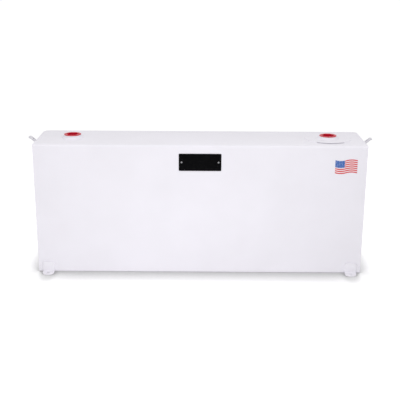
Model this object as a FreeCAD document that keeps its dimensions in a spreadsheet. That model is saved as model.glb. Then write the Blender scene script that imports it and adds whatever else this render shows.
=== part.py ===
import FreeCAD, Part
import os
import re
import Sketcher

# A slim steel transfer tank for diesel fuel, made of two folded sheets that are welded at their corners.
# Its frame: +Z up, +X along the length, the front face towards -Y, the origin in the middle of the base.

os.makedirs("parts", exist_ok=True)
doc = FreeCAD.newDocument("TransferTank")

# Driving dimensions, in millimetres and degrees: name, value, what it sets
drivingSizes = [
    ("TankLength", 1219.2, "length over the two ends"),
    ("TankDepth", 241.3, "depth from the front face to the back face"),
    ("TankHeight", 495.3, "height of the shell"),
    ("SheetGauge", 1.9, "thickness of the shell and baffle sheet"),
    ("BendRadius", 8, "outer radius of the two long bends of the front shell"),
    ("BackBend", 22, "outer radius of the two upright bends of the back shell"),
    ("SeamReturn", 12, "how far the back seams run on past the upright bends"),
    ("SeamShare", 0.75, "bevel of a corner seam, as a share of the sheet"),
    ("SeatGap", 0.2, "gap between pieces that are fitted before welding"),
    ("BungInset", 129.6, "distance of a bung from the end of the tank"),
    ("BungBore", 57.2, "bore of a bung, at the crest of its thread"),
    ("BungCollar", 70, "outer diameter of a bung"),
    ("BungHeight", 11, "height of a bung above the top"),
    ("BungDrop", 9, "how far a bung reaches below the top face"),
    ("BungChamfer", 1.2, "chamfers at the mouth of a bung"),
    ("BungHoleGap", 0.2, "gap round a bung in the hole that it passes through"),
    ("PadDiameter", 170, "diameter of the doubler under the pump bung"),
    ("PadThickness", 3, "thickness of the doubler"),
    ("PlugHead", 63, "diameter of the head of a plug"),
    ("PlugHeadThickness", 2.2, "thickness of the head of a plug"),
    ("PlugHeadChamfer", 0.7, "chamfer of the upper rim of the head"),
    ("PlugShank", 22, "length of a plug below its head"),
    ("PlugGap", 0.3, "clearance of a plug in its bung, round the shank and under the head"),
    ("PlugSocket", 42, "width across flats of the socket in the plug"),
    ("PlugSocketDepth", 19, "depth of the socket in the plug"),
    ("BaffleSpacing", 406.4, "distance between the webs of the two baffles"),
    ("BaffleFlange", 22, "width of the flanges of a baffle"),
    ("BaffleCrop", 45, "size of the cropped corners of a baffle"),
    ("BaffleHole", 60, "diameter of the flow holes in a baffle"),
    ("BaffleHolePitch", 130, "distance between the flow holes"),
    ("BaffleHoleCount", 3, "number of flow holes in a baffle"),
    ("BracketGauge", 4.8, "thickness of the feet and the lifting lugs"),
    ("BracketBend", 3, "inner radius of the bends of the feet and the lugs"),
    ("WeldLeg", 4, "leg of the fillet welds of the feet and the lugs"),
    ("WeldSetback", 4, "how far those welds stop short of the end of their edge"),
    ("FootWidth", 42, "width of a foot"),
    ("FootInset", 37.5, "distance of the middle of a foot from the end of the tank"),
    ("FootReach", 35, "how far a foot reaches out from the face of the tank"),
    ("FootLeg", 42, "height of the upright leg of a foot"),
    ("FootCorner", 19, "rounding of the corners of the tab of a foot"),
    ("FootCrop", 5, "size of the cropped upper corners of the leg of a foot"),
    ("FootHole", 11, "diameter of the bolt hole in a foot"),
    ("FootHoleReach", 20, "distance of the bolt hole from the face of the tank"),
    ("LugWidth", 26, "width of the flat bar of a lifting lug"),
    ("LugLean", 50, "lean of the middle stretch of a lug from upright"),
    ("LugFootDrop", 95, "how far the foot of a lug lies below the top of the tank"),
    ("LugBendDrop", 21, "how far the lower bend of a lug lies below the top"),
    ("LugRise", 3, "how far the lip of a lug lies above the top"),
    ("LugLip", 5, "length of the lip of a lug"),
    ("LugCorner", 5, "rounding of the corners of the lip of a lug"),
    ("LugCrop", 5, "size of the cropped lower corners of a lug"),
    ("LugEye", 16, "diameter of the lifting eye"),
    ("PlateLength", 155, "length of the nameplate"),
    ("PlateHeight", 64, "height of the nameplate"),
    ("PlateThickness", 1.5, "thickness of the nameplate"),
    ("PlateCorner", 2.5, "rounding of the corners of the nameplate"),
    ("PlateDrop", 31.5, "distance of the upper edge of the nameplate from the top of the tank"),
    ("RivetInset", 10, "distance of a rivet from the end of the nameplate"),
    ("RivetShank", 3.6, "diameter of the shank of a rivet"),
    ("RivetHoleGap", 0.15, "gap round a rivet in the nameplate"),
    ("RivetHead", 7, "diameter of the head of a rivet"),
    ("RivetHeadHeight", 1.8, "height of the head of a rivet"),
    ("FlagLength", 81, "length of the flag on its film"),
    ("FlagHeight", 49, "height of the flag at its sides"),
    ("FlagWave", 3, "height of the waves of the upper and lower edge of the flag"),
    ("FlagFilm", 0.3, "thickness of the film"),
    ("FlagInset", 76, "distance of the middle of the flag from the right end"),
    ("FlagDrop", 77, "distance of the middle of the flag from the top of the tank"),
]
closeTo = 0.01

sizes = doc.addObject("Spreadsheet::Sheet", "Sizes")
for row, (alias, size, meaning) in enumerate(drivingSizes, 1):
    sizes.set(f"A{row}", meaning)
    sizes.set(f"B{row}", str(size))
    sizes.setAlias(f"B{row}", alias)
doc.recompute()

# Places that several pieces share, worked out from the driving dimensions
rightEnd = "(TankLength / 2)"
backFace = "(TankDepth / 2)"
insideTop = "(TankHeight - SheetGauge)"
insideBack = "(TankDepth / 2 - SheetGauge)"
insideEnd = "(TankLength / 2 - SheetGauge)"
innerBend = "(BendRadius - SheetGauge)"
innerBackBend = "(BackBend - SheetGauge)"
seamCut = "(SheetGauge * SeamShare)"
seamMeeting = "(TankDepth / 2 - BackBend - SeamReturn)"
bungHole = "(BungCollar / 2 + BungHoleGap)"
bungPlace = "(TankLength / 2 - BungInset)"
footPlace = "(TankLength / 2 - FootInset)"
bracketHeel = "(BracketBend + BracketGauge)"


def bound(formula):
    # Driving dimensions start with a capital, so their names become cells of the sheet
    return re.sub(r"[A-Z]\w+", r"Sizes.\g<0>", formula)


def value(formula):
    return float(sizes.evalExpression(bound(formula)))


def bind(thing, prop, formula):
    thing.setExpression(prop, bound(formula))


def newBody(label, x="0", y="0", z="0", turn="0"):
    body = doc.addObject("PartDesign::Body", label)
    body.Label = label
    body.Placement = FreeCAD.Placement(FreeCAD.Vector(), FreeCAD.Rotation(FreeCAD.Vector(0, 0, 1), value(turn)))
    for name, formula in zip("xyz", (x, y, z)):
        bind(body, f"Placement.Base.{name}", formula)
    return body


def newSketch(body, role, lift="0"):
    sketch = body.newObject("Sketcher::SketchObject", f"{body.Label}_sketch")
    plane = next(feature for feature in body.Origin.OriginFeatures if feature.Role == role)
    sketch.AttachmentSupport = [(plane, "")]
    sketch.MapMode = "FlatFace"
    bind(sketch, "AttachmentOffset.Base.z", lift)
    return sketch


def constrain(sketch, kind, *where, formula):
    number = sketch.addConstraint(Sketcher.Constraint(kind, *where, value(formula)))
    bind(sketch, f"Constraints[{number}]", formula)


def placePoint(sketch, geometry, point, x, y):
    constrain(sketch, "DistanceX", -1, 1, geometry, point, formula=x)
    constrain(sketch, "DistanceY", -1, 1, geometry, point, formula=y)


def drawOutline(sketch, corners):
    # A closed outline of straight lines, each corner placed by two formulas
    points = [FreeCAD.Vector(value(x), value(y), 0) for x, y in corners]
    lines = [sketch.addGeometry(Part.LineSegment(a, b)) for a, b in zip(points, points[1:] + points[:1])]
    for line, following in zip(lines, lines[1:] + lines[:1]):
        sketch.addConstraint(Sketcher.Constraint("Coincident", line, 2, following, 1))
    for line, (x, y) in zip(lines, corners):
        placePoint(sketch, line, 1, x, y)


def drawCircle(sketch, x, y, radius):
    centre = FreeCAD.Vector(value(x), value(y), 0)
    circle = sketch.addGeometry(Part.Circle(centre, FreeCAD.Vector(0, 0, 1), value(radius)))
    placePoint(sketch, circle, 3, x, y)
    constrain(sketch, "Radius", circle, formula=radius)


def pad(body, sketch, length, bothWays=False):
    feature = body.newObject("PartDesign::Pad", f"{body.Label}_pad")
    feature.Profile = sketch
    feature.SideType = "Symmetric" if bothWays else "One side"
    bind(feature, "Length", length)
    doc.recompute()
    return feature


def pocket(body, sketch, depth, bothWays=False):
    before = body.Shape.Volume
    feature = body.newObject("PartDesign::Pocket", f"{body.Label}_pocket")
    feature.Profile = sketch
    feature.SideType = "Symmetric" if bothWays else "One side"
    bind(feature, "Length", depth)
    doc.recompute()
    if body.Shape.Volume > before - closeTo:
        raise RuntimeError(f"{feature.Name} cuts nothing")
    return feature


def revolve(body, sketch):
    feature = body.newObject("PartDesign::Revolution", f"{body.Label}_turned")
    feature.Profile = sketch
    feature.ReferenceAxis = (sketch, ["V_Axis"])
    doc.recompute()
    return feature


def roundEdges(body, radius, names):
    feature = body.newObject("PartDesign::Fillet", f"{body.Label}_round")
    feature.Base = (body.Group[-2], names)
    bind(feature, "Radius", radius)
    doc.recompute()
    return feature


def chamferEdges(body, size, names):
    feature = body.newObject("PartDesign::Chamfer", f"{body.Label}_chamfer")
    feature.Base = (body.Group[-2], names)
    bind(feature, "Size", size)
    doc.recompute()
    return feature


def edgesAlong(feature, axis, **places):
    # The straight edges that run along an axis, with their middle at one of the places given for each other axis
    names = []
    for number, edge in enumerate(feature.Shape.Edges, 1):
        if not isinstance(edge.Curve, Part.Line):
            continue
        if abs(abs(getattr(edge.Curve.Direction, axis)) - 1) > closeTo:
            continue
        middle = edge.CenterOfMass
        if all(any(abs(getattr(middle, key) - value(place)) < closeTo for place in options)
               for key, options in places.items()):
            names.append(f"Edge{number}")
    return names


def frontProfile(backEdge):
    # Section of the sheet that folds round the top, the front and the bottom, in Y and Z
    return [(backEdge, "0"), (f"-{backFace}", "0"), (f"-{backFace}", "TankHeight"), (backEdge, "TankHeight"),
            (backEdge, insideTop), (f"-{insideBack}", insideTop), (f"-{insideBack}", "SheetGauge"),
            (backEdge, "SheetGauge")]


def backProfile(frontEdge):
    # Section of the sheet that folds round the ends and the back, in X and Y
    return [(f"-{rightEnd}", frontEdge), (f"-{rightEnd}", backFace), (rightEnd, backFace), (rightEnd, frontEdge),
            (insideEnd, frontEdge), (insideEnd, insideBack), (f"-{insideEnd}", insideBack),
            (f"-{insideEnd}", frontEdge)]


def foldFront(body, feature):
    feature = roundEdges(body, "BendRadius", edgesAlong(feature, "x", y=[f"-{backFace}"], z=["0", "TankHeight"]))
    inner = edgesAlong(feature, "x", y=[f"-{insideBack}"], z=["SheetGauge", insideTop])
    return roundEdges(body, innerBend, inner)


def foldBack(body, feature):
    outer = edgesAlong(feature, "z", x=[f"-{rightEnd}", rightEnd], y=[backFace])
    feature = roundEdges(body, "BackBend", outer)
    inner = edgesAlong(feature, "z", x=[f"-{insideEnd}", insideEnd], y=[insideBack])
    return roundEdges(body, innerBackBend, inner)


def makeFrontShell():
    body = newBody("front_shell")
    sketch = newSketch(body, "YZ_Plane")
    drawOutline(sketch, frontProfile(insideBack))
    feature = foldFront(body, pad(body, sketch, f"2 * {insideEnd}", bothWays=True))
    corners = edgesAlong(feature, "z", x=[f"-{insideEnd}", insideEnd], y=[insideBack])
    roundEdges(body, innerBackBend, corners)
    holes = newSketch(body, "XY_Plane", "TankHeight")
    for side in ("-1", "1"):
        drawCircle(holes, f"{side} * {bungPlace}", "0", bungHole)
    pocket(body, holes, "2 * SheetGauge")


def makeBackShell():
    body = newBody("back_shell")
    sketch = newSketch(body, "XY_Plane", "SheetGauge")
    drawOutline(sketch, backProfile(f"-{insideBack}"))
    feature = foldBack(body, pad(body, sketch, "TankHeight - 2 * SheetGauge"))
    corners = edgesAlong(feature, "x", y=[f"-{insideBack}"], z=["SheetGauge", insideTop])
    roundEdges(body, innerBend, corners)


def makeEndWeld(label, side):
    # The seam that fills the corner between an end and the edge of the front shell
    body = newBody(label, x=f"{side} * ({rightEnd} - SheetGauge / 2)")
    sketch = newSketch(body, "YZ_Plane")
    drawOutline(sketch, frontProfile(seamMeeting))
    feature = foldFront(body, pad(body, sketch, "SheetGauge", bothWays=True))
    outside = edgesAlong(feature, "z", x=[f"{side} * SheetGauge / 2"], y=[f"-{backFace}"])
    chamferEdges(body, seamCut, outside)


def makeBackWeld(label, bottom, outerLevel):
    # The seam that fills the corner between the back shell and the rounded edge of the top or the bottom
    body = newBody(label)
    sketch = newSketch(body, "XY_Plane", bottom)
    drawOutline(sketch, backProfile(seamMeeting))
    feature = foldBack(body, pad(body, sketch, "SheetGauge"))
    chamferEdges(body, seamCut, edgesAlong(feature, "x", y=[backFace], z=[outerLevel]))


def makeBaffle(label, side, turn):
    # A web with a flange along the front and the back, cropped corners and a row of flow holes
    body = newBody(label, x=f"{side} * BaffleSpacing / 2", turn=turn)
    web = "(TankDepth / 2 - SheetGauge - SeatGap)"
    low = "(SheetGauge + SeatGap)"
    high = f"({insideTop} - SeatGap)"
    sketch = newSketch(body, "YZ_Plane")
    drawOutline(sketch, [
        (f"-{web} + BaffleCrop", low), (f"{web} - BaffleCrop", low), (web, f"{low} + BaffleCrop"),
        (web, f"{high} - BaffleCrop"), (f"{web} - BaffleCrop", high), (f"-{web} + BaffleCrop", high),
        (f"-{web}", f"{high} - BaffleCrop"), (f"-{web}", f"{low} + BaffleCrop")])
    block = pad(body, sketch, "BaffleFlange")
    flanged = body.newObject("PartDesign::Thickness", f"{label}_flanged")
    openFaces = []
    for number, face in enumerate(block.Shape.Faces, 1):
        normal = face.normalAt(0, 0)
        isWeb = normal.x < closeTo - 1
        isFlange = abs(abs(normal.y) - 1) < closeTo
        if not isWeb and not isFlange:
            openFaces.append(f"Face{number}")
    flanged.Base = (block, openFaces)
    flanged.Reversed = True
    bind(flanged, "Value", "SheetGauge")
    doc.recompute()
    hole = newSketch(body, "YZ_Plane")
    drawCircle(hole, "0", "TankHeight / 2 - (BaffleHoleCount - 1) / 2 * BaffleHolePitch", "BaffleHole / 2")
    first = pocket(body, hole, "4 * SheetGauge", bothWays=True)
    row = body.newObject("PartDesign::LinearPattern", f"{label}_holes")
    row.Originals = [first]
    row.Direction = (hole, ["V_Axis"])
    bind(row, "Length", "(BaffleHoleCount - 1) * BaffleHolePitch")
    bind(row, "Occurrences", "BaffleHoleCount")
    body.Tip = row
    doc.recompute()


def makeBung(label, side):
    # A turned ring that is welded into the top and bored right through
    body = newBody(label, x=f"{side} * {bungPlace}", z="TankHeight")
    bore = "BungBore / 2"
    collar = "BungCollar / 2"
    sketch = newSketch(body, "XZ_Plane")
    drawOutline(sketch, [
        (bore, "-BungDrop"), (collar, "-BungDrop"), (collar, "BungHeight - BungChamfer"),
        (f"{collar} - BungChamfer", "BungHeight"), (f"{bore} + BungChamfer", "BungHeight"),
        (bore, "BungHeight - BungChamfer")])
    revolve(body, sketch)


def makePad():
    # The round doubler under the pump bung
    body = newBody("pump_pad", x=bungPlace, z="TankHeight")
    sketch = newSketch(body, "XY_Plane")
    drawCircle(sketch, "0", "0", "PadDiameter / 2")
    drawCircle(sketch, "0", "0", bungHole)
    pad(body, sketch, "PadThickness")


def makePlug(label, side):
    # A moulded screw plug: a thin round head over a shank, with a wide hexagon socket
    body = newBody(label, x=f"{side} * {bungPlace}", z="TankHeight + BungHeight + PlugGap")
    shank = "(BungBore / 2 - PlugGap)"
    head = "PlugHead / 2"
    sketch = newSketch(body, "XZ_Plane")
    drawOutline(sketch, [
        ("0", "-PlugShank"), (shank, "-PlugShank"), (shank, "0"), (head, "0"),
        (head, "PlugHeadThickness - PlugHeadChamfer"), (f"{head} - PlugHeadChamfer", "PlugHeadThickness"),
        ("0", "PlugHeadThickness")])
    revolve(body, sketch)
    corner = "PlugSocket / sqrt(3)"
    flat = "PlugSocket / 2"
    socket = newSketch(body, "XY_Plane", "PlugHeadThickness")
    drawOutline(socket, [
        (corner, "0"), (f"{corner} / 2", flat), (f"-{corner} / 2", flat),
        (f"-{corner}", "0"), (f"-{corner} / 2", f"-{flat}"), (f"{corner} / 2", f"-{flat}")])
    pocket(body, socket, "PlugSocketDepth")


def makeFoot(label, side, face, turn):
    # A bent bracket: a leg that is welded to the face of the tank and a tab with a bolt hole
    body = newBody(label, x=f"{side} * {footPlace}", y=f"{face} * {backFace}", turn=turn)
    edge = "FootWidth / 2"
    sketch = newSketch(body, "YZ_Plane")
    drawOutline(sketch, [
        ("0", "0"), ("-FootReach", "0"), ("-FootReach", "BracketGauge"), ("-BracketGauge", "BracketGauge"),
        ("-BracketGauge", "FootLeg"), ("0", "FootLeg")])
    feature = pad(body, sketch, "FootWidth", bothWays=True)
    feature = roundEdges(body, bracketHeel, edgesAlong(feature, "x", y=["0"], z=["0"]))
    inner = edgesAlong(feature, "x", y=["-BracketGauge"], z=["BracketGauge"])
    feature = roundEdges(body, "BracketBend", inner)
    feature = roundEdges(body, "FootCorner", edgesAlong(feature, "z", x=[f"-{edge}", edge], y=["-FootReach"]))
    chamferEdges(body, "FootCrop", edgesAlong(feature, "y", x=[f"-{edge}", edge], z=["FootLeg"]))
    hole = newSketch(body, "XY_Plane")
    drawCircle(hole, "0", "-FootHoleReach", "FootHole / 2")
    pocket(body, hole, "3 * BracketGauge", bothWays=True)
    start = f"({bracketHeel} + WeldSetback)"
    welds = newSketch(body, "XY_Plane", start)
    for way in ("-1", "1"):
        drawOutline(welds, [
            (f"{way} * {edge}", "0"), (f"{way} * ({edge} + WeldLeg)", "0"), (f"{way} * {edge}", "-WeldLeg")])
    pad(body, welds, f"FootLeg - FootCrop - {start}")


def makeLug(label, side, turn):
    # A flat bar with two bends: a foot on the end of the tank, a leaning stretch with the eye, and a level lip
    body = newBody(label, x=f"{side} * {rightEnd}", z="TankHeight", turn=turn)
    lean = "((LugBendDrop + LugRise) * tan(LugLean))"
    low = "(BracketGauge * tan(LugLean / 2))"
    high = "(BracketGauge * tan(45 - LugLean / 2))"
    sketch = newSketch(body, "XZ_Plane")
    drawOutline(sketch, [
        ("0", "-LugFootDrop"), ("0", "-LugBendDrop"), (lean, "LugRise"), (f"{lean} + {high} + LugLip", "LugRise"),
        (f"{lean} + {high} + LugLip", "LugRise - BracketGauge"), (f"{lean} + {high}", "LugRise - BracketGauge"),
        ("BracketGauge", f"-LugBendDrop - {low}"), ("BracketGauge", "-LugFootDrop")])
    feature = pad(body, sketch, "LugWidth", bothWays=True)
    edges = [("BracketGauge", f"-LugBendDrop - {low}"), (f"{lean} + {high}", "LugRise - BracketGauge")]
    for x, z in edges:
        feature = roundEdges(body, "BracketBend", edgesAlong(feature, "y", x=[x], z=[z]))
    for x, z in [("0", "-LugBendDrop"), (lean, "LugRise")]:
        feature = roundEdges(body, bracketHeel, edgesAlong(feature, "y", x=[x], z=[z]))
    edge = "LugWidth / 2"
    feature = chamferEdges(body, "LugCrop", edgesAlong(feature, "x", y=[f"-{edge}", edge], z=["-LugFootDrop"]))
    tip = f"{lean} + {high} + LugLip"
    roundEdges(body, "LugCorner", edgesAlong(feature, "z", x=[tip], y=[f"-{edge}", edge]))
    eye = body.newObject("PartDesign::SubtractiveCylinder", f"{label}_eye")
    bind(eye, "Radius", "LugEye / 2")
    bind(eye, "Height", "6 * BracketGauge")
    eye.Placement = FreeCAD.Placement(FreeCAD.Vector(), FreeCAD.Rotation(FreeCAD.Vector(0, 1, 0), 90))
    bind(eye, "Placement.Rotation.Angle", "90 + LugLean")
    bind(eye, "Placement.Base.x", f"{lean} / 2 - 3 * BracketGauge * cos(LugLean)")
    bind(eye, "Placement.Base.z", "(LugRise - LugBendDrop) / 2 + 3 * BracketGauge * sin(LugLean)")
    doc.recompute()
    welds = newSketch(body, "XY_Plane", "LugCrop - LugFootDrop")
    for way in ("-1", "1"):
        drawOutline(welds, [
            ("0", f"{way} * {edge}"), ("0", f"{way} * ({edge} + WeldLeg)"), ("WeldLeg", f"{way} * {edge}")])
    pad(body, welds, "LugFootDrop - LugCrop - LugBendDrop - WeldSetback - BracketGauge")


def makeNameplate():
    middle = "TankHeight - PlateDrop - PlateHeight / 2"
    body = newBody("nameplate", y=f"-{backFace}", z=middle)
    long = "PlateLength / 2"
    tall = "PlateHeight / 2"
    sketch = newSketch(body, "XZ_Plane")
    drawOutline(sketch, [(f"-{long}", f"-{tall}"), (long, f"-{tall}"), (long, tall), (f"-{long}", tall)])
    feature = pad(body, sketch, "PlateThickness")
    roundEdges(body, "PlateCorner", edgesAlong(feature, "y", x=[f"-{long}", long], z=[f"-{tall}", tall]))
    holes = newSketch(body, "XZ_Plane")
    for side in ("-1", "1"):
        drawCircle(holes, f"{side} * ({long} - RivetInset)", "0", "RivetShank / 2 + RivetHoleGap")
    pocket(body, holes, "3 * PlateThickness", bothWays=True)
    for label, side in (("nameplate_rivet_left", "-1"), ("nameplate_rivet_right", "1")):
        makeRivet(label, f"{side} * ({long} - RivetInset)", middle)


def makeRivet(label, x, z):
    # A rivet with its head on the nameplate and its shank down to the face of the tank
    body = newBody(label, x=x, y=f"-{backFace}", z=z)
    shank = "RivetShank / 2"
    head = "RivetHead / 2"
    sketch = newSketch(body, "XY_Plane")
    drawOutline(sketch, [
        ("0", "0"), (shank, "0"), (shank, "-PlateThickness"), (head, "-PlateThickness"),
        (head, "-PlateThickness - RivetHeadHeight"), ("0", "-PlateThickness - RivetHeadHeight")])
    revolve(body, sketch)


def makeFlag():
    # A film in the outline of a waving flag: its upper and lower edges rise and fall in two arcs
    body = newBody("flag_decal", x=f"{rightEnd} - FlagInset", y=f"-{backFace}", z="TankHeight - FlagDrop")
    long = "(FlagLength / 2)"
    tall = "(FlagHeight / 2)"
    bulge = "((FlagLength * FlagLength / 16 + FlagWave * FlagWave) / 2 / FlagWave)"
    sketch = newSketch(body, "XZ_Plane")
    stations = [f"-{long}", "0", long]
    arcs = {}
    for level in (f"-{tall}", tall):
        for number, (a, b) in enumerate(zip(stations, stations[1:])):
            start = FreeCAD.Vector(value(a), value(level), 0)
            end = FreeCAD.Vector(value(b), value(level), 0)
            wave = value("FlagWave") * (-1 if number == 0 else 1)
            arc = sketch.addGeometry(Part.Arc(start, (start + end) / 2 + FreeCAD.Vector(0, wave, 0), end))
            first, last = (1, 2) if sketch.getPoint(arc, 1).distanceToPoint(start) < closeTo else (2, 1)
            arcs[level, number] = (arc, first, last)
            constrain(sketch, "Radius", arc, formula=bulge)
            placePoint(sketch, arc, first, a, level)
        sketch.addConstraint(Sketcher.Constraint("Coincident", arcs[level, 0][0], arcs[level, 0][2],
                                                 arcs[level, 1][0], arcs[level, 1][1]))
        placePoint(sketch, arcs[level, 1][0], arcs[level, 1][2], stations[-1], level)
    for number, place, end in ((0, stations[0], 1), (1, stations[-1], 2)):
        low, high = arcs[f"-{tall}", number], arcs[tall, number]
        line = sketch.addGeometry(Part.LineSegment(FreeCAD.Vector(value(place), value(f"-{tall}"), 0),
                                                   FreeCAD.Vector(value(place), value(tall), 0)))
        sketch.addConstraint(Sketcher.Constraint("Coincident", line, 1, low[0], low[end]))
        sketch.addConstraint(Sketcher.Constraint("Coincident", line, 2, high[0], high[end]))
    pad(body, sketch, "FlagFilm")


makeFrontShell()
makeBackShell()
makeEndWeld("end_weld_left", "-1")
makeEndWeld("end_weld_right", "1")
makeBackWeld("back_weld_top", insideTop, "TankHeight")
makeBackWeld("back_weld_bottom", "0", "0")
makeBaffle("baffle_left", "-1", "180")
makeBaffle("baffle_right", "1", "0")
makeBung("fill_bung", "-1")
makeBung("pump_bung", "1")
makePad()
makePlug("fill_plug", "-1")
makePlug("pump_plug", "1")
makeFoot("foot_front_left", "-1", "-1", "0")
makeFoot("foot_front_right", "1", "-1", "0")
makeFoot("foot_back_left", "-1", "1", "180")
makeFoot("foot_back_right", "1", "1", "180")
makeLug("lifting_lug_left", "-1", "180")
makeLug("lifting_lug_right", "1", "0")
makeNameplate()
makeFlag()
doc.recompute()

for thing in doc.Objects:
    if "Invalid" in thing.State or "Error" in thing.State:
        raise RuntimeError(f"{thing.Name} did not compute: {thing.State}")
bodies = [thing for thing in doc.Objects if thing.TypeId == "PartDesign::Body"]
for body in bodies:
    if body.Shape.isNull() or not body.Shape.isValid() or len(body.Shape.Solids) != 1:
        raise RuntimeError(f"{body.Label} is not one valid solid")
for body in bodies:
    body.Shape.exportStep(f"parts/{body.Label}.step")
    print(body.Label, "volume", round(body.Shape.Volume), "box", body.Shape.BoundBox)
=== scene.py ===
import math
import bmesh
import bpy
from mathutils import Matrix, Vector, noise


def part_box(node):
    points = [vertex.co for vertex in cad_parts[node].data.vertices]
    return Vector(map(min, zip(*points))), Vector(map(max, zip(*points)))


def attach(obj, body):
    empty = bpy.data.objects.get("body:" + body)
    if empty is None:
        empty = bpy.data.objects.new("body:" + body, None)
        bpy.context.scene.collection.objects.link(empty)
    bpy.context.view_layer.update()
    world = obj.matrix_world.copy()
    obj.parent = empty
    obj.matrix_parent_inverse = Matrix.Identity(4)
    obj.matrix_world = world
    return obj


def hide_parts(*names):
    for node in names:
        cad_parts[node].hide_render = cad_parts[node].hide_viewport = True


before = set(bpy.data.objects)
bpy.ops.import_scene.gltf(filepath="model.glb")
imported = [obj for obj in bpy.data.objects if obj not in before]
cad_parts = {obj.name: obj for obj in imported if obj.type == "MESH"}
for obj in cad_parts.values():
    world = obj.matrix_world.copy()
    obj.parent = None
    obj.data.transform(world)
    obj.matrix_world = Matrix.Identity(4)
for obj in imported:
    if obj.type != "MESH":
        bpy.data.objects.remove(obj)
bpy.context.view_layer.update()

# A slim white steel transfer tank: the CAD parts get their finishes here, and the small forms are added.
# The scene is in metres, +Z up, +X along the length, the front face towards -Y.
# Sizes in the dictionaries are millimetres. Only the lamps and the camera are placed and sized in metres.
mm = 0.001
upward = Vector((0, 0, 1))
rightward = Vector((1, 0, 0))
mergeGap = 0.002  # points of a new mesh that lie closer than this become one

# Faces of the tank, read from the frame
tank = {
    "rightEnd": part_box("end_weld_right")[1].x,
    "frontFace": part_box("front_shell")[0].y,
    "backFace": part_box("back_shell")[1].y,
    "seamMeeting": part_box("end_weld_right")[1].y,
    "top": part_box("front_shell")[1].z,
    "bottom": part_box("front_shell")[0].z,
}


# Materials. Their patterns are noise, given as (size of the blotches, detail, and roughness if it isn't 0.5)

def addNode(material, kind, inputs=None, **settings):
    # Each input is a value or a socket to link. The material may also be the world
    tree = material.node_tree
    made = tree.nodes.new("ShaderNode" + kind)
    for key, setting in settings.items():
        setattr(made, key, setting)
    for socket, source in (inputs or {}).items():
        if isinstance(source, bpy.types.NodeSocket):
            tree.links.new(source, made.inputs[socket])
        else:
            made.inputs[socket].default_value = source
    return made


def newMaterial(name):
    # A material with its shader, and the coordinates that all its patterns read
    material = bpy.data.materials.new(name)
    material.use_nodes = True
    shader = next(made for made in material.node_tree.nodes if made.type == "BSDF_PRINCIPLED")
    where = addNode(material, "TexCoord").outputs["Object"]
    return material, shader, where


def link(material, source, target):
    material.node_tree.links.new(source, target)


def compute(material, operation, first, second=0.0):
    return addNode(material, "Math", {0: first, 1: second}, operation=operation).outputs[0]


def grain(material, where, size, detail, roughness=0.5, stretch=(1, 1, 1)):
    # Noise whose blotches are about the given size
    if stretch != (1, 1, 1):
        where = addNode(material, "Mapping", {"Vector": where, "Scale": stretch}).outputs["Vector"]
    return addNode(material, "TexNoise", {
        "Vector": where, "Scale": 1 / (size * mm), "Detail": detail, "Roughness": roughness}).outputs["Fac"]


def remap(material, value, low, high, fromLow=0.3, fromHigh=0.7):
    # Noise stays mostly between 0.3 and 0.7
    return addNode(material, "MapRange", {
        "Value": value, "From Min": fromLow, "From Max": fromHigh, "To Min": low, "To Max": high,
    }).outputs["Result"]


def blend(material, factor, first, second, mode="MIX"):
    # Sockets 6 and 7 of a Mix node are its colours
    made = addNode(material, "Mix", {0: factor, 6: first, 7: second}, data_type="RGBA", blend_type=mode)
    return made.outputs[2]


def bumped(material, height, depth, under=None):
    inputs = {"Height": height, "Distance": depth * mm, "Strength": 1.0}
    if under is not None:
        inputs["Normal"] = under
    return addNode(material, "Bump", inputs).outputs["Normal"]


def shade(material, shader, colour, roughness, normal):
    for socket, source in (("Base Color", colour), ("Roughness", roughness), ("Normal", normal)):
        link(material, source, shader.inputs[socket])


def shadeGrained(material, shader, where, look, colour):
    # The plain finishes share this: patches of more and less gloss, and a fine grain in the surface
    roughness = remap(material, grain(material, where, *look["gloss"]), *look["roughness"])
    relief = bumped(material, grain(material, where, *look["grain"]), look["grainDepth"])
    shade(material, shader, colour, roughness, relief)


coatLook = {
    "colour": (0.845, 0.825, 0.885, 1), "shadow": (0.815, 0.795, 0.85, 1), "cloud": (180, 3),
    "peel": (1.6, 2), "peelDepth": 0.02, "wave": (260, 1), "waveDepth": 0.35,
    "gloss": (25, 4), "roughness": (0.44, 0.54), "specular": 0.4,
    # The last four entries are the painted shade high up on the lugs: its two greys, the size of its patches,
    # and where it starts
    "paintedShade": (0.72, 0.705, 0.755, 1), "darkPatch": (0.63, 0.615, 0.66, 1), "patch": (9, 4),
    "paintedShadeDrop": (40, 16),  # the painted shade starts this far below the top, and is full from here up
}


def makeWhiteCoat(hasPaintedShade=False):
    # Powder coat: fine orange peel over a sheet that isn't quite flat. High up on the lugs, grey painted
    # shade is mixed into its colour in random patches
    material, shader, where = newMaterial("shadePaintedPowderCoat" if hasPaintedShade else "whitePowderCoat")
    clouds = remap(material, grain(material, where, *coatLook["cloud"]), 0, 1)
    colour = blend(material, clouds, coatLook["colour"], coatLook["shadow"])
    # Painted shade: towards the top of the lug the colour goes grey, in random patches
    if hasPaintedShade:
        patches = remap(material, grain(material, where, *coatLook["patch"]), 0, 1)
        level = addNode(material, "SeparateXYZ", {"Vector": where}).outputs["Z"]
        howMuch = remap(material, level, 0, 1, *(tank["top"] - drop * mm for drop in coatLook["paintedShadeDrop"]))
        patchyTone = blend(material, patches, coatLook["paintedShade"], coatLook["darkPatch"])
        colour = blend(material, howMuch, colour, patchyTone)
    roughness = remap(material, grain(material, where, *coatLook["gloss"]), *coatLook["roughness"])
    sheet = bumped(material, grain(material, where, *coatLook["wave"]), coatLook["waveDepth"])
    peel = bumped(material, grain(material, where, *coatLook["peel"]), coatLook["peelDepth"], under=sheet)
    shader.inputs["Specular IOR Level"].default_value = coatLook["specular"]
    shade(material, shader, colour, roughness, peel)
    return material


steelLook = {
    "colour": (0.36, 0.355, 0.35, 1), "scale": (0.20, 0.195, 0.19, 1), "blotch": (30, 4),
    "streak": (6, 5), "stretch": (0.05, 1, 1), "streakDepth": 0.04, "roughness": (0.32, 0.55),
    "metallic": 0.85,
}


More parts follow.
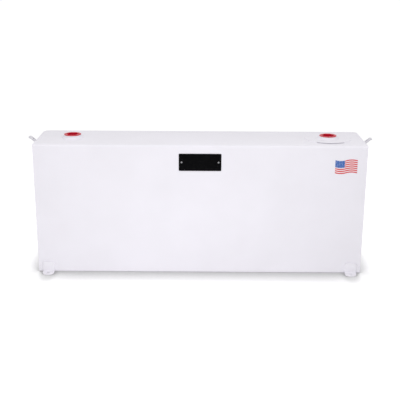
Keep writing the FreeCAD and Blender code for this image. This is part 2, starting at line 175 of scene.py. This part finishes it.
def makeBareSteel():
    # Mill steel with rolling streaks along the sheet
    material, shader, where = newMaterial("bareSteel")
    streaks = grain(material, where, *steelLook["streak"], stretch=steelLook["stretch"])
    blotches = remap(material, grain(material, where, *steelLook["blotch"]), 0, 1)
    colour = blend(material, blotches, steelLook["colour"], steelLook["scale"])
    roughness = remap(material, streaks, *steelLook["roughness"])
    shader.inputs["Metallic"].default_value = steelLook["metallic"]
    shade(material, shader, colour, roughness, bumped(material, streaks, steelLook["streakDepth"]))
    return material


plasticLook = {
    "colour": (0.60, 0.005, 0.030, 1), "deep": (0.52, 0.004, 0.024, 1), "mottle": (5, 4),
    "gloss": (2.5, 3), "roughness": (0.30, 0.42), "grain": (1.2, 3), "grainDepth": 0.03, "specular": 0.3,
}


def makeRedPlastic():
    # Moulded polyethylene, slightly mottled
    material, shader, where = newMaterial("redPlastic")
    mottle = remap(material, grain(material, where, *plasticLook["mottle"]), 0, 1)
    colour = blend(material, mottle, plasticLook["colour"], plasticLook["deep"])
    shader.inputs["Specular IOR Level"].default_value = plasticLook["specular"]
    shadeGrained(material, shader, where, plasticLook, colour)
    return material


plateLook = {
    "colour": (0.0015, 0.0015, 0.002, 1), "patchyTone": (0.004, 0.004, 0.0045, 1), "scuff": (9, 6, 0.65),
    "scuffRange": (0.45, 0.75), "gloss": (4, 4), "roughness": (0.45, 0.58), "grain": (0.8, 2),
    "grainDepth": 0.012, "specular": 0.025,
}


def makeBlackPlate():
    # Aluminium with a satin black face, scuffed here and there
    material, shader, where = newMaterial("blackPlate")
    scuffs = remap(material, grain(material, where, *plateLook["scuff"]), 0, 1, *plateLook["scuffRange"])
    colour = blend(material, scuffs, plateLook["colour"], plateLook["patchyTone"])
    shader.inputs["Specular IOR Level"].default_value = plateLook["specular"]
    shadeGrained(material, shader, where, plateLook, colour)
    return material


rivetLook = {
    "colour": (0.34, 0.34, 0.35, 1), "darkPatch": (0.22, 0.22, 0.23, 1), "patch": (1.5, 3),
    "gloss": (0.8, 3), "roughness": (0.40, 0.55), "grain": (0.5, 2), "grainDepth": 0.01, "metallic": 1.0,
}


def makeRivetMetal():
    material, shader, where = newMaterial("rivetAluminium")
    darkPatch = remap(material, grain(material, where, *rivetLook["patch"]), 0, 1)
    colour = blend(material, darkPatch, rivetLook["colour"], rivetLook["darkPatch"])
    shader.inputs["Metallic"].default_value = rivetLook["metallic"]
    shadeGrained(material, shader, where, rivetLook, colour)
    return material


flagLook = {
    "red": (0.62, 0.006, 0.02, 1), "white": (0.84, 0.74, 0.765, 1), "blue": (0.003, 0.10, 0.40, 1),
    "stripes": 13, "redWidth": 1.07, "wave": 3, "fade": (8, 3), "fading": 0.03,
    "cantonLength": 0.43, "cantonStripes": 7, "dots": (6, 5), "dotSize": 0.15,
    "gloss": (3, 3), "roughness": (0.30, 0.42), "grain": (1.5, 2), "grainDepth": 0.01,
}


def makeFlagFilm():
    # A waving flag printed on film: stripes that follow the wave, and a blue field with rows of pale dots
    material, shader, where = newMaterial("flagFilm")
    low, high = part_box("flag_decal")
    length, middle = high.x - low.x, (low + high) / 2
    wave = flagLook["wave"] * mm
    tall = high.z - low.z - 2 * wave

    def work(operation, first, second=0.0):
        return compute(material, operation, first, second)

    split = addNode(material, "SeparateXYZ", {"Vector": where})
    across = work("DIVIDE", work("SUBTRACT", split.outputs["X"], low.x), length)
    ripple = work("MULTIPLY", work("SINE", work("MULTIPLY", across, 2 * math.pi)), -wave)
    level = work("SUBTRACT", work("SUBTRACT", split.outputs["Z"], middle.z - tall / 2), ripple)
    row = work("MULTIPLY", work("DIVIDE", level, tall), flagLook["stripes"])
    isRed = work("LESS_THAN", work("MODULO", row, 2.0), flagLook["redWidth"])
    stripes = blend(material, isRed, flagLook["white"], flagLook["red"])
    columns, rows = flagLook["dots"]
    upCanton = work("SUBTRACT", row, flagLook["stripes"] - flagLook["cantonStripes"])
    inCanton = work("MULTIPLY", work("LESS_THAN", across, flagLook["cantonLength"]),
                    work("GREATER_THAN", upCanton, 0.0))
    cellX, cellY = (
        work("SUBTRACT", work("FRACT", work("MULTIPLY", along, cells / extent)), 0.5)
        for along, cells, extent in ((across, columns, flagLook["cantonLength"]),
                                     (upCanton, rows, flagLook["cantonStripes"])))
    away = work("SQRT", work("ADD", work("MULTIPLY", cellX, cellX), work("MULTIPLY", cellY, cellY)))
    isDot = work("LESS_THAN", away, flagLook["dotSize"])
    canton = blend(material, isDot, flagLook["blue"], flagLook["white"])
    ink = blend(material, inCanton, stripes, canton)
    faded = remap(material, grain(material, where, *flagLook["fade"]), 0.0, flagLook["fading"])
    shadeGrained(material, shader, where, flagLook, blend(material, faded, ink, flagLook["white"]))
    return material


finishes = {
    "white_coat": makeWhiteCoat(),
    "bare_steel": makeBareSteel(),
    "red_plastic": makeRedPlastic(),
    "black_plate": makeBlackPlate(),
    "rivet": makeRivetMetal(),
    "flag_film": makeFlagFilm(),
}
lugShadeCoat = makeWhiteCoat(hasPaintedShade=True)
print("materials made:", len(finishes) + 1)

nodeFinish = {
    "white_coat": [
        "front_shell", "back_shell", "end_weld_left", "end_weld_right", "back_weld_top", "back_weld_bottom",
        "fill_bung", "pump_bung", "pump_pad", "foot_front_left", "foot_front_right", "foot_back_left",
        "foot_back_right", "lifting_lug_left", "lifting_lug_right"],
    "bare_steel": ["baffle_left", "baffle_right"],
    "red_plastic": ["fill_plug", "pump_plug"],
    "black_plate": ["nameplate"],
    "rivet": ["nameplate_rivet_left", "nameplate_rivet_right"],
    "flag_film": ["flag_decal"],
}
for slotName, nodeNames in nodeFinish.items():
    for nodeName in nodeNames:
        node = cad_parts[nodeName]
        node.data.materials.clear()
        node.data.materials.append(finishes[slotName])
print("CAD parts finished")


# Shapes

def addPiece(name, bm, slotName, body, replaces=None, smoothAngle=40):
    # A finished piece: it rides on a body of the frame and may stand in for a CAD part
    mesh = bpy.data.meshes.new(name)
    bm.to_mesh(mesh)
    bm.free()
    piece = bpy.data.objects.new(name, mesh)
    bpy.context.scene.collection.objects.link(piece)
    mesh.materials.append(finishes[slotName])
    mesh.shade_smooth()
    mesh.set_sharp_from_angle(angle=math.radians(smoothAngle))
    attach(piece, body)
    if replaces:
        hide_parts(replaces)
    return piece


def boxMiddle(low, high, level):
    # The point at the middle of a box as seen from above, at the given level
    return Vector(((low.x + high.x) / 2, (low.y + high.y) / 2, level))


def roundedRun(corners, radius, perCorner):
    # A run of points through the corners, each inner corner rounded
    run = [corners[0]]
    for before, corner, after in zip(corners, corners[1:], corners[2:]):
        back, ahead = (before - corner).normalized(), (after - corner).normalized()
        half = back.angle(ahead) / 2
        middle = corner + (back + ahead).normalized() * radius / math.sin(half)
        arm = corner + back * radius / math.tan(half) - middle
        axis = back.cross(ahead)
        run += [middle + Matrix.Rotation(-(math.pi - 2 * half) * step / perCorner, 3, axis) @ arm
                for step in range(perCorner + 1)]
    return run + [corners[-1]]


def evenSteps(run, step):
    # Points at equal steps along a run, and its length
    lengths = [0.0]
    for first, second in zip(run, run[1:]):
        lengths.append(lengths[-1] + (second - first).length)
    count = max(2, round(lengths[-1] / step))
    points, leg = [], 0
    for number in range(count + 1):
        goal = lengths[-1] * number / count
        while leg < len(run) - 2 and lengths[leg + 1] < goal:
            leg += 1
        share = (goal - lengths[leg]) / (lengths[leg + 1] - lengths[leg])
        points.append(run[leg].lerp(run[leg + 1], share))
    return points, lengths[-1]


def sweepAlong(points, closed, around, placeAt):
    # A tube along the points, which is a ring if it is closed. placeAt gives each vertex its place, from its
    # point, the heading there, the share of the way and the angle round the tube
    bm = bmesh.new()
    last = len(points) - 1
    bmesh.ops.create_grid(bm, x_segments=last, y_segments=around, size=0.5)
    headings = []
    for number in range(last + 1):
        before = points[number - 1] if number else (points[-2] if closed else points[0])
        after = points[number + 1] if number < last else (points[1] if closed else points[-1])
        headings.append((after - before).normalized())
    for vertex in bm.verts:
        number = round((vertex.co.x + 0.5) * last)
        angle = 2 * math.pi * round((vertex.co.y + 0.5) * around) / around
        vertex.co = placeAt(points[number], headings[number], number / last, angle)
    bmesh.ops.remove_doubles(bm, verts=bm.verts[:], dist=mergeGap * mm)
    bmesh.ops.recalc_face_normals(bm, faces=bm.faces[:])
    return bm


# A bead's middle lies off its corner by lift. Ripples follow each other at a pitch, their depth is a share of
# the bead, and they bow as the weld pool did. wobbleScale counts the waves of the wobble to the metre
beadLook = {
    "seam": {"lift": -1.9, "height": 1.8, "halfWidth": 1.95, "pitch": 3.0, "depth": 0.16},
    "fillet": {"lift": 1.2, "height": 2.3, "halfWidth": 4.2, "pitch": 2.8, "depth": 0.14},
    "bungFillet": {"lift": 1.0, "height": 3.6, "halfWidth": 6.6, "pitch": 3.4, "depth": 0.14},
    "padFillet": {"lift": 0.4, "height": 1.5, "halfWidth": 3.6, "pitch": 2.8, "depth": 0.12},
    "perPitch": 6, "around": 12, "bow": 0.9, "taper": 4.0, "wobble": 0.07, "wobbleScale": 90,
}


def makeBead(name, run, kind, faceNormal, side, closed=False):
    # A rippled weld bead in or on the corner between a face and its neighbour. The neighbour's normal is the
    # heading crossed with the face's, times the side
    look = beadLook[kind]
    points, length = evenSteps(run, look["pitch"] * mm / beadLook["perPitch"])
    ripples = round(length / (look["pitch"] * mm))

    def placeAt(point, heading, share, angle):
        neighbour = heading.cross(faceNormal).normalized() * side
        out = (faceNormal + neighbour).normalized()
        across = (neighbour - faceNormal).normalized()
        size = 1.0
        if math.cos(angle) >= 0:
            phase = (share * ripples + beadLook["bow"] * math.sin(angle) ** 2) % 1.0
            size -= look["depth"] * (1 - math.sqrt(max(0.0, 1 - (2 * phase - 1) ** 2)))
        if not closed:
            reach = min(share, 1 - share) * length / (beadLook["taper"] * mm)
            size *= math.sqrt(math.sin(min(1.0, reach) * math.pi / 2))
            size *= 1 + beadLook["wobble"] * noise.noise(point * beadLook["wobbleScale"])
        place = point + out * (look["lift"] + look["height"] * math.cos(angle) * size) * mm
        place += across * look["halfWidth"] * math.sin(angle) * size * mm
        place.z = max(place.z, tank["bottom"])
        return place

    return addPiece(name, sweepAlong(points, closed, beadLook["around"], placeAt), "white_coat", "tank")


shellBends = {"front": (8, 16), "back": (22, 24)}  # outer radius of the sheet's bends, and steps round each


def makeSeams():
    # The corner seams: each end's runs round the front, and two run round the back
    end, front, back = tank["rightEnd"], tank["frontFace"], tank["backFace"]
    meeting, top, bottom = tank["seamMeeting"], tank["top"], tank["bottom"]
    radius, steps = shellBends["front"]
    for label, side in (("left", -1), ("right", 1)):
        corners = [Vector((side * end, y, z))
                   for y, z in ((meeting, top), (front, top), (front, bottom), (meeting, bottom))]
        run = roundedRun(corners, radius * mm, steps)
        makeBead(f"end_seam_{label}", run, "seam", rightward * side, side)
    radius, steps = shellBends["back"]
    for label, level, side in (("top", top, 1), ("bottom", bottom, -1)):
        corners = [Vector((x, y, level))
                   for x, y in ((-end, meeting), (-end, back), (end, back), (end, meeting))]
        run = roundedRun(corners, radius * mm, steps)
        makeBead(f"back_seam_{label}", run, "seam", upward * side, -side)


makeSeams()
print("corner seams welded")

# Widths of the eased edges, then how a CAD part's loose triangles become faces with edges to ease
easeLook = {"bracket": 0.6, "nameplate": 0.35, "segments": 2,
            "merge": 0.005, "flatWithin": 0.6, "sharpFrom": 35}


def bevelledCopy(nodeName, width, slotName):
    # A copy of a CAD part whose sharp edges are eased, as after grinding and coating
    bm = bmesh.new()
    bm.from_mesh(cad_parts[nodeName].data)
    bmesh.ops.transform(bm, matrix=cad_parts[nodeName].matrix_world, verts=bm.verts[:])
    bmesh.ops.remove_doubles(bm, verts=bm.verts[:], dist=easeLook["merge"] * mm)
    bmesh.ops.dissolve_limit(bm, angle_limit=math.radians(easeLook["flatWithin"]), verts=bm.verts[:],
                             edges=bm.edges[:])
    sharpFrom = math.radians(easeLook["sharpFrom"])
    sharp = [edge for edge in bm.edges if len(edge.link_faces) == 2 and edge.calc_face_angle() > sharpFrom]
    bmesh.ops.bevel(bm, geom=sharp, offset=width * mm, offset_type="OFFSET", affect="EDGES",
                    segments=easeLook["segments"], profile=0.5, material=-1, clamp_overlap=True)
    bmesh.ops.triangulate(bm, faces=[face for face in bm.faces if len(face.verts) > 4])
    bmesh.ops.recalc_face_normals(bm, faces=bm.faces[:])
    return addPiece(nodeName + "_eased", bm, slotName, "tank", replaces=nodeName,
                    smoothAngle=easeLook["sharpFrom"])


def makeBrackets():
    # Feet and lugs
    for nodeName in nodeFinish["white_coat"]:
        if nodeName.startswith(("foot", "lifting")):
            bracket = bevelledCopy(nodeName, easeLook["bracket"], "white_coat")
            if nodeName.startswith("lifting"):
                # The lugs take the coat with painted shade high up
                bracket.data.materials[0] = lugShadeCoat


makeBrackets()
print("brackets eased")


def turnedRings(bm, profile, steps, centre):
    # A surface turned about an upright axis from a run of (radius, height) points
    points = [bm.verts.new(centre + Vector((radius, 0, height)) * mm) for radius, height in profile]
    lines = [bm.edges.new(pair) for pair in zip(points, points[1:])]
    bmesh.ops.spin(bm, geom=points + lines, cent=centre, axis=upward, angle=2 * math.pi, steps=steps,
                   use_merge=True)
    bmesh.ops.remove_doubles(bm, verts=bm.verts[:], dist=mergeGap * mm)


def easedProfile(corners, ease, perCorner=4):
    # The corners of a profile as (radius, height), each inner one rounded
    run = roundedRun([Vector((radius, 0, height)) for radius, height in corners], ease, perCorner)
    return [(point.x, point.z) for point in run]


# The ridge's half width is a share of the pitch, its foot sinks into the wall that carries it, and a power
# under 1 fills out its flanks
threadLook = {"pitch": 2.2, "perTurn": 72, "around": 8, "fadeTurns": 0.5, "halfWidth": 0.42, "footSink": 0.3,
              "flankPower": 0.6}


def threadRidge(name, centre, span, slotName, body):
    # A screw thread: a ridge along a helix that fades out at both ends
    look = threadLook
    turns = (span["high"] - span["low"]) / look["pitch"]
    count = round(turns * look["perTurn"])
    run = []
    for number in range(count + 1):
        share = number / count
        turn = share * turns * 2 * math.pi
        run.append(centre + Vector((math.cos(turn) * span["root"], math.sin(turn) * span["root"],
                                    span["low"] + share * (span["high"] - span["low"]))) * mm)
    fade = look["perTurn"] / count * look["fadeTurns"]
    crest = span["crest"] - span["root"]

    def placeAt(point, heading, share, angle):
        outward = Vector((point.x - centre.x, point.y - centre.y, 0)).normalized()
        size = min(1.0, share / fade, (1 - share) / fade)
        lean = abs(math.cos(angle)) ** look["flankPower"] * math.copysign(1, math.cos(angle))
        reach = crest * max(0.0, lean) + math.copysign(look["footSink"], crest) * min(0.0, lean)
        rise = look["pitch"] * look["halfWidth"] * math.sin(angle)
        return point + (outward * reach + upward * rise) * size * mm

    return addPiece(name, sweepAlong(run, False, look["around"], placeAt), slotName, body)


plugLook = {"head": 31.5, "headThickness": 2.2, "ease": 0.45, "shank": 27.3, "length": 22, "steps": 96,
            "acrossFlats": 42, "socketDepth": 19, "socketRound": 0.97, "socketMouth": 0.6, "floorShare": 0.94}
plugThread = {"low": -20.5, "high": -1.2, "root": 27.3, "crest": 28.25}


def extrudeRing(bm, ring):
    # The open ring of edges, extruded in place: its new edges and its new points
    made = bmesh.ops.extrude_edge_only(bm, edges=ring)["geom"]
    edges = [item for item in made if isinstance(item, bmesh.types.BMEdge)]
    return edges, [item for item in made if isinstance(item, bmesh.types.BMVert)]


def makePlug(label):
    # A moulded screw plug: a thin round head over a threaded shank, with a wide hexagon socket
    nodeName = label + "_plug"
    low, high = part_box(nodeName)
    look = plugLook
    crown, mouth = look["headThickness"], look["socketMouth"]
    seat = boxMiddle(low, high, high.z - crown * mm)
    corner = look["acrossFlats"] / math.sqrt(3)
    bm = bmesh.new()
    outside = [(corner + 2 * mouth, crown), (look["head"], crown), (look["head"], 0), (look["shank"], 0),
               (look["shank"], -look["length"]), (0, -look["length"])]
    turnedRings(bm, easedProfile(outside, look["ease"]), look["steps"], seat)
    ring, points = extrudeRing(bm, [edge for edge in bm.edges if edge.is_boundary])
    for point in points:
        outward = Vector((point.co.x - seat.x, point.co.y - seat.y, 0))
        fromFlat = math.atan2(outward.y, outward.x) % (math.pi / 3) - math.pi / 6
        reach = min(look["acrossFlats"] / 2 / math.cos(fromFlat), corner * look["socketRound"])
        point.co += outward.normalized() * ((reach + mouth) * mm - outward.length)
    # The socket's bevelled mouth, its walls, and the slope to its floor
    for sink, size in ((mouth, corner / (corner + mouth)), (look["socketDepth"] - 2 * mouth, 1.0),
                       (mouth, look["floorShare"])):
        ring, points = extrudeRing(bm, ring)
        bmesh.ops.translate(bm, verts=points, vec=-upward * sink * mm)
        bmesh.ops.scale(bm, verts=points, vec=(size, size, 1), space=Matrix.Translation(-seat))
    bmesh.ops.triangle_fill(bm, edges=ring, use_beauty=True)
    bmesh.ops.recalc_face_normals(bm, faces=bm.faces[:])
    addPiece(nodeName + "_moulded", bm, "red_plastic", nodeName, replaces=nodeName)
    threadRidge(nodeName + "_thread", seat, plugThread, "red_plastic", nodeName)


makePlug("fill")
makePlug("pump")
print("plugs moulded")

bungLook = {"collar": 35, "bore": 29.75, "drop": 9, "rise": 11, "ease": 1.1, "steps": 96, "weldSteps": 160}
bungThread = {"low": -7.8, "high": 9.6, "root": 29.75, "crest": 28.7}


def makeBung(label, seatOn):
    # A turned bung with its thread, and the weld round it on the face that it stands on
    nodeName = label + "_bung"
    low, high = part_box(nodeName)
    look = bungLook
    centre = boxMiddle(low, high, tank["top"])
    bm = bmesh.new()
    middle = ((look["bore"] + look["collar"]) / 2, -look["drop"])
    section = [middle, (look["collar"], -look["drop"]), (look["collar"], look["rise"]),
               (look["bore"], look["rise"]), (look["bore"], -look["drop"]), middle]
    turnedRings(bm, easedProfile(section, look["ease"]), look["steps"], centre)
    bmesh.ops.recalc_face_normals(bm, faces=bm.faces[:])
    addPiece(nodeName + "_turned", bm, "white_coat", "tank", replaces=nodeName)
    threadRidge(nodeName + "_thread", centre, bungThread, "bare_steel", "tank")
    around = look["weldSteps"]
    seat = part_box(seatOn)[1].z
    turns = [2 * math.pi * number / around for number in range(around + 1)]
    run = [Vector((centre.x + math.cos(turn) * look["collar"] * mm,
                   centre.y + math.sin(turn) * look["collar"] * mm, seat)) for turn in turns]
    makeBead(nodeName + "_weld", run, "bungFillet", upward, 1, closed=True)


makeBung("fill", "front_shell")
makeBung("pump", "pump_pad")
print("bungs turned and welded")

# The weld runs between two angles in degrees, counted from the right-hand end, and leaves the front rim open
padLook = {"rimWidth": 12, "gap": 1.8, "gapDepth": 6.0, "ease": 0.35, "steps": 144, "holeGap": 0.2,
           "sameLevel": 0.01, "weldFrom": -55, "weldTo": 235, "weldSteps": 240}


def makePad():
    # The doubler: it stands off the top along its rim, and is welded round its sides and back
    low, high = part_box("pump_pad")
    bungLow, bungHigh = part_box("pump_bung")
    radius = (high.x - low.x) / 2 / mm
    centre = boxMiddle(low, high, low.z)
    hole = Vector(((bungLow.x + bungHigh.x) / 2, centre.y, low.z))
    thick = (high.z - low.z) / mm
    look = padLook
    bm = bmesh.new()
    inside, foot = radius - look["rimWidth"], radius - look["gapDepth"]
    rim = [(inside, thick), (radius, thick), (radius, look["gap"]), (foot, look["gap"]), (foot, 0),
           (inside, 0)]
    turnedRings(bm, easedProfile(rim, look["ease"]), look["steps"], centre)
    bore = bungLook["collar"] + look["holeGap"]
    outer = [edge for edge in bm.edges if edge.is_boundary]
    turnedRings(bm, [(bore, thick), (bore, 0)], look["steps"], hole)
    inner = [edge for edge in bm.edges if edge.is_boundary and edge not in outer]
    for level in (centre.z, centre.z + thick * mm):
        loops = [edge for edge in outer + inner
                 if abs(edge.verts[0].co.z - level) < look["sameLevel"] * mm]
        bmesh.ops.triangle_fill(bm, edges=loops, use_beauty=True)
    bmesh.ops.recalc_face_normals(bm, faces=bm.faces[:])
    addPiece("pump_pad_eased", bm, "white_coat", "tank", replaces="pump_pad")
    arc = [math.radians(look["weldFrom"] + (look["weldTo"] - look["weldFrom"]) * number / look["weldSteps"])
           for number in range(look["weldSteps"] + 1)]
    run = [centre + Vector((math.cos(turn), math.sin(turn), 0)) * radius * mm for turn in arc]
    makeBead("pump_pad_weld", run, "padFillet", upward, 1)


makePad()
print("doubler welded")

# How far the beads stand in from a bracket's edges, and the levels that they run between: a foot's from the
# base of the tank, a lug's from its own lower end
bracketLook = {"weldInset": 4, "footWeld": (10.5, 38.5), "lugWeld": (5, 65)}


def makeBracketWelds():
    # The beads up both sides of the leg of each foot and each lug
    inset = bracketLook["weldInset"] * mm
    for label, sign in (("left", -1), ("right", 1)):
        for face, wall, way in (("front", tank["frontFace"], -1), ("back", tank["backFace"], 1)):
            low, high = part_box(f"foot_{face}_{label}")
            for number, x, edgeSide in ((1, low.x + inset, -1), (2, high.x - inset, 1)):
                run = [Vector((x, wall, level * mm)) for level in bracketLook["footWeld"]]
                name = f"foot_{face}_{label}_weld{number}"
                makeBead(name, run, "fillet", Vector((0, way, 0)), -edgeSide * way)
        low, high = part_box(f"lifting_lug_{label}")
        for number, y, edgeSide in ((1, low.y + inset, -1), (2, high.y - inset, 1)):
            run = [Vector((sign * tank["rightEnd"], y, low.z + rise * mm)) for rise in bracketLook["lugWeld"]]
            name = f"lifting_lug_{label}_weld{number}"
            makeBead(name, run, "fillet", rightward * sign, edgeSide * sign)


makeBracketWelds()
print("brackets welded")

bevelledCopy("nameplate", easeLook["nameplate"], "black_plate")

# The dome runs in equal turns, in degrees, up to the sunk end of the mandrel
rivetShape = {"head": 3.5, "height": 1.8, "neck": 3.4, "shank": 1.8, "steps": 40,
              "domeTurn": 10, "domeSteps": 8,
              "mandrel": 1.0, "pitMouth": 0.97, "pitTaper": 0.8, "pitDepth": 0.5}


def makeRivet(label):
    # A blind rivet: a domed head with the broken mandrel sunk in its middle
    nodeName = f"nameplate_rivet_{label}"
    low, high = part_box(nodeName)
    look = rivetShape
    face = Vector(((low.x + high.x) / 2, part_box("nameplate")[0].y, (low.z + high.z) / 2))
    depth = (high.y - face.y) / mm
    stem = [(0, -depth), (look["shank"], -depth), (look["shank"], 0), (look["neck"], 0)]
    turns = [math.radians(step * look["domeTurn"]) for step in range(look["domeSteps"])]
    dome = [(look["head"] * math.cos(turn), look["height"] * math.sin(turn)) for turn in turns]
    crown = dome[-1][1]
    pit = [(look["mandrel"], crown * look["pitMouth"]),
           (look["mandrel"] * look["pitTaper"], crown - look["pitDepth"]), (0, crown - look["pitDepth"])]
    bm = bmesh.new()
    turnedRings(bm, stem + dome + pit, look["steps"], Vector())
    bmesh.ops.recalc_face_normals(bm, faces=bm.faces[:])
    bmesh.ops.transform(bm, matrix=Matrix.Translation(face) @ Matrix.Rotation(math.pi / 2, 4, "X"),
                        verts=bm.verts[:])
    addPiece(nodeName + "_domed", bm, "rivet", "tank", replaces=nodeName)


makeRivet("left")
makeRivet("right")
print("nameplate riveted")


# Floor, lamps and camera

# The floor lies a gap under the tank. Light rays shorter than passing go through it, so the gap isn't black.
# seen is its level to the camera and in reflections, lit its level to all other light.
# A contact shade is (how far it reaches, its level at the darkest), in front of the tank and elsewhere. The
# first gives way to the second between the two places along Y in frontEdge. The shade is full where the lower
# share of openSky is in view, and gone at the upper one. A tab's own shade is an ellipse with the half axes
# tabShadeSize, and fades from the share tabShadeFrom of them outwards
floorLook = {
    "size": 400000, "gap": 0.3, "passing": 3, "seen": 1.50, "lit": 0.95,
    "frontContact": (210, 0.37), "sideContact": (80, 0.50), "frontEdge": (-125, -100),
    "openSky": (0.5, 1.0), "contactSamples": 16,
    "tabShade": 0.78, "tabShadeSize": (46, 118), "tabShadeFrom": 0.35,
}


def shadeTabs(material, where, shaded):
    # A soft shade round the tab of each front foot, whose thin edge hardly darkens the floor by itself
    width, length = (size * mm for size in floorLook["tabShadeSize"])
    for label in ("left", "right"):
        low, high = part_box(f"foot_front_{label}")
        middle = ((low.x + high.x) / 2, (low.y + tank["frontFace"]) / 2, 0)
        offset = addNode(material, "VectorMath", {0: where, 1: middle}, operation="SUBTRACT").outputs[0]
        shrink = (1 / width, 1 / length, 0)
        scaled = addNode(material, "VectorMath", {0: offset, 1: shrink}, operation="MULTIPLY").outputs[0]
        away = addNode(material, "VectorMath", {0: scaled}, operation="LENGTH").outputs["Value"]
        dimmed = addNode(material, "MapRange", {
            "Value": away, "From Min": floorLook["tabShadeFrom"], "From Max": 1,
            "To Min": floorLook["tabShade"], "To Max": 1}, interpolation_type="SMOOTHSTEP").outputs["Result"]
        shaded = blend(material, 1.0, shaded, dimmed, "MULTIPLY")
    return shaded


def makeFloorPaint():
    # Pale and matt, clear from below, with the contact shade of the tank in its colour
    look = floorLook
    material, shader, where = newMaterial("paleFloor")
    rays = addNode(material, "LightPath").outputs
    isSeen = compute(material, "MAXIMUM", rays["Is Camera Ray"], rays["Is Glossy Ray"])
    level = addNode(material, "SeparateXYZ", {"Vector": where}).outputs["Y"]
    frontEdge = [edge * mm for edge in look["frontEdge"]]
    (frontReach, frontDepth), (sideReach, sideDepth) = look["frontContact"], look["sideContact"]
    reach = remap(material, level, frontReach * mm, sideReach * mm, *frontEdge)
    depth = remap(material, level, frontDepth, sideDepth, *frontEdge)
    contact = addNode(material, "AmbientOcclusion", {"Distance": reach}, samples=look["contactSamples"])
    isOpen = remap(material, contact.outputs["AO"], 0, 1, *look["openSky"])
    shaded = shadeTabs(material, where, blend(material, isOpen, depth, (1, 1, 1, 1)))
    shaded = blend(material, 1.0, shaded, (look["seen"],) * 3 + (1,), "MULTIPLY")
    colour = blend(material, isSeen, (look["lit"],) * 3 + (1,), shaded)
    matt = addNode(material, "BsdfDiffuse", {"Color": colour}).outputs[0]
    isNear = compute(material, "LESS_THAN", rays["Ray Length"], look["passing"] * mm)
    isClear = compute(material, "MAXIMUM", isNear, addNode(material, "NewGeometry").outputs["Backfacing"])
    clear = addNode(material, "BsdfTransparent").outputs[0]
    surface = addNode(material, "MixShader", {0: isClear, 1: matt, 2: clear}).outputs[0]
    output = next(made for made in material.node_tree.nodes if made.type == "OUTPUT_MATERIAL")
    link(material, surface, output.inputs["Surface"])
    material.node_tree.nodes.remove(shader)
    return material


def makeFloor():
    bm = bmesh.new()
    bmesh.ops.create_grid(bm, x_segments=1, y_segments=1, size=floorLook["size"] * mm / 2)
    bmesh.ops.translate(bm, verts=bm.verts[:], vec=-upward * floorLook["gap"] * mm)
    mesh = bpy.data.meshes.new("floor")
    bm.to_mesh(mesh)
    bm.free()
    mesh.materials.append(makeFloorPaint())
    floor = bpy.data.objects.new("floor", mesh)
    bpy.context.scene.collection.objects.link(floor)


roomLook = {"ambient": 0.68, "seen": 1.0}


def makeWorld():
    # An even white room, dimmer for the light that it gives than where it is seen or reflected
    world = bpy.data.worlds.new("paleRoom")
    world.use_nodes = True
    bpy.context.scene.world = world
    background = next(made for made in world.node_tree.nodes if made.type == "BACKGROUND")
    background.inputs["Color"].default_value = (1, 1, 1, 1)
    rays = addNode(world, "LightPath").outputs
    isIndirect = compute(world, "MAXIMUM", rays["Is Glossy Ray"], rays["Is Transmission Ray"])
    isSeen = compute(world, "MAXIMUM", rays["Is Camera Ray"], isIndirect)
    strength = remap(world, isSeen, roomLook["ambient"], roomLook["seen"], 0, 1)
    link(world, strength, background.inputs["Strength"])


softboxLook = {
    "frontSoftbox": {"at": (-0.14, -0.95, 0.12), "aim": (-0.14, 0, 0.12), "size": (1.3, 0.3), "watts": 1.78},
    "overheadStrip": {"at": (0, -0.6, 1.3), "aim": (0, -0.1, 0.45), "size": (2.6, 0.2), "watts": 6.15},
    "backSoftbox": {"at": (0, 2.0, 0.30), "aim": (0, 0, 0.2), "size": (1.6, 0.3), "watts": 6.5},
}


def makeSoftboxes():
    # A long box low in front, a strip above and in front of the top, and a box low behind
    for name, look in softboxLook.items():
        lamp = bpy.data.lights.new(name, "AREA")
        lamp.shape = "RECTANGLE"
        lamp.size, lamp.size_y = look["size"]
        lamp.energy = look["watts"]
        holder = bpy.data.objects.new(name, lamp)
        turn = (Vector(look["aim"]) - Vector(look["at"])).to_track_quat("-Z", "Y").to_matrix().to_4x4()
        holder.matrix_world = Matrix.Translation(look["at"]) @ turn
        holder.visible_camera = False
        bpy.context.scene.collection.objects.link(holder)


# Angles in radians, lens and sensor in millimetres
cameraLook = {"at": (0.0061, -2.9056, 1.1543), "yaw": -0.0020, "pitch": 0.3015, "roll": 0.0051,
              "lens": 70.99, "sensor": 36}


def makeCamera():
    camera = bpy.data.cameras.new("camera")
    camera.lens = cameraLook["lens"]
    camera.sensor_width = cameraLook["sensor"]
    holder = bpy.data.objects.new("camera", camera)
    holder.matrix_world = (
        Matrix.Translation(cameraLook["at"])
        @ Matrix.Rotation(-cameraLook["yaw"], 4, "Z")
        @ Matrix.Rotation(math.pi / 2 - cameraLook["pitch"], 4, "X")
        @ Matrix.Rotation(cameraLook["roll"], 4, "Z"))
    bpy.context.scene.collection.objects.link(holder)
    bpy.context.scene.camera = holder


makeFloor()
makeWorld()
makeSoftboxes()
makeCamera()
bpy.context.scene.view_settings.view_transform = "Standard"
print("stage, lamps and camera placed")

bpy.context.view_layer.update()
